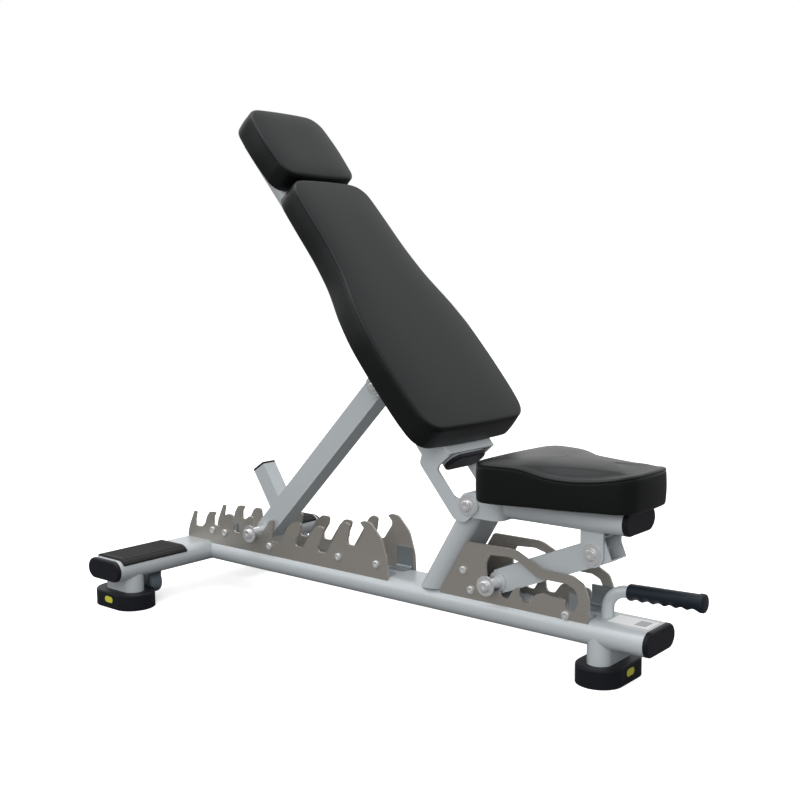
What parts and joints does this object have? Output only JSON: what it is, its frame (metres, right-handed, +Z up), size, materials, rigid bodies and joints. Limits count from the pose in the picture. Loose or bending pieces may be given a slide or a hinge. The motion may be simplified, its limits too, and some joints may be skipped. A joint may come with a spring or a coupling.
{
  "type": "adjustable weight bench",
  "caption": "Flat-to-incline weight bench: a notched steel base carries a hinged back with headrest on a strut, and a hinged seat on a link",
  "frame": {"origin": "on the floor, at the centre of the bounding box", "axes": "+X towards the seat end and its carry handle, +Y to the left side of a user facing +X, +Z up"},
  "size_m": [1.4404, 0.6912, 1.1681],
  "materials": {
    "frame_paint": "satin metallic paint",
    "stainless": "brushed",
    "zinc_steel": "zinc plated",
    "chrome": "bright",
    "cap_plastic": "moulded",
    "foot_rubber": "moulded",
    "insert": "moulded",
    "board": "black stained plywood",
    "vinyl": "upholstery vinyl",
    "wheel": "moulded"
  },
  "bodies": {
    "base": {"base_tube": "frame_paint", "rear_cross_tube": "frame_paint", "seat_post": "frame_paint", "pivot_hub": "frame_paint", "foot_stubs": "frame_paint", "front_end_cap": "cap_plastic", "rear_end_cap_left": "cap_plastic", "rear_end_cap_right": "cap_plastic", "front_foot": "foot_rubber", "rear_foot_left": "foot_rubber", "rear_foot_right": "foot_rubber", "foot_inserts": "insert", "step_pad_left": "foot_rubber", "step_pad_right": "foot_rubber", "carry_handle": "frame_paint", "handle_grip": "foot_rubber", "rear_ladder_left": "stainless", "rear_ladder_right": "stainless", "seat_ladder_left": "stainless", "seat_ladder_right": "stainless", "rear_ladder_brackets": "zinc_steel", "seat_ladder_brackets": "zinc_steel", "ladder_bolts": "chrome", "main_pivot_bolt": "chrome", "main_pivot_washers": "chrome", "wheel_brackets": "zinc_steel"},
    "backrest": {"back_tube": "frame_paint", "back_cap_lower": "cap_plastic", "back_cap_upper": "cap_plastic", "back_bracket_left": "frame_paint", "back_bracket_right": "frame_paint", "back_mount_plates": "frame_paint", "strut_ears": "frame_paint", "strut_pivot_bolt": "chrome", "strut_pivot_washers": "chrome", "back_board": "board", "back_pad": "vinyl", "headrest_board": "board", "headrest_pad": "vinyl", "pad_bolts": "zinc_steel"},
    "strut": {"strut_tube": "frame_paint", "strut_stub": "frame_paint", "strut_stub_cap": "cap_plastic", "strut_sleeve": "frame_paint", "strut_pin": "chrome", "strut_pin_ends": "chrome"},
    "seat": {"seat_tube": "frame_paint", "seat_tube_cap": "cap_plastic", "seat_bracket": "frame_paint", "link_ears": "frame_paint", "link_pivot_bolt": "chrome", "link_pivot_washers": "chrome", "seat_board": "board", "seat_pad": "vinyl"},
    "link": {"link_tube": "frame_paint", "link_sleeve": "frame_paint", "link_pin": "chrome", "link_pin_ends": "chrome"},
    "wheel_left": {"wheel_left": "wheel"},
    "wheel_right": {"wheel_right": "wheel"}
  },
  "joints": [
    {"name": "back_recline", "type": "hinge", "parent": "base", "child": "backrest", "pos_m": [0.237, 0, 0.3177], "axis": [0, 1, 0], "range_deg": [0, 32]},
    {"name": "strut_swing", "type": "hinge", "parent": "backrest", "child": "strut", "pos_m": [-0.05364, 0, 0.54116], "axis": [0, 1, 0], "range_deg": [-33, 0]},
    {"name": "seat_tilt", "type": "hinge", "parent": "base", "child": "seat", "pos_m": [0.237, 0, 0.3177], "axis": [0, -1, 0], "range_deg": [0, 15]},
    {"name": "link_swing", "type": "hinge", "parent": "seat", "child": "link", "pos_m": [0.503, 0, 0.249], "axis": [0, -1, 0], "range_deg": [0, 2.2]},
    {"name": "left_wheel_spin", "type": "hinge", "parent": "base", "child": "wheel_left", "pos_m": [-0.638, 0.208, 0.04], "axis": [0, 1, 0], "continuous": true},
    {"name": "right_wheel_spin", "type": "hinge", "parent": "base", "child": "wheel_right", "pos_m": [-0.638, -0.208, 0.04], "axis": [0, 1, 0], "continuous": true}
  ],
  "couplings": [
    {"joint": "strut_swing", "follows": "back_recline", "ratio": -1},
    {"joint": "link_swing", "follows": "seat_tilt", "ratio": 0.1}
  ]
}
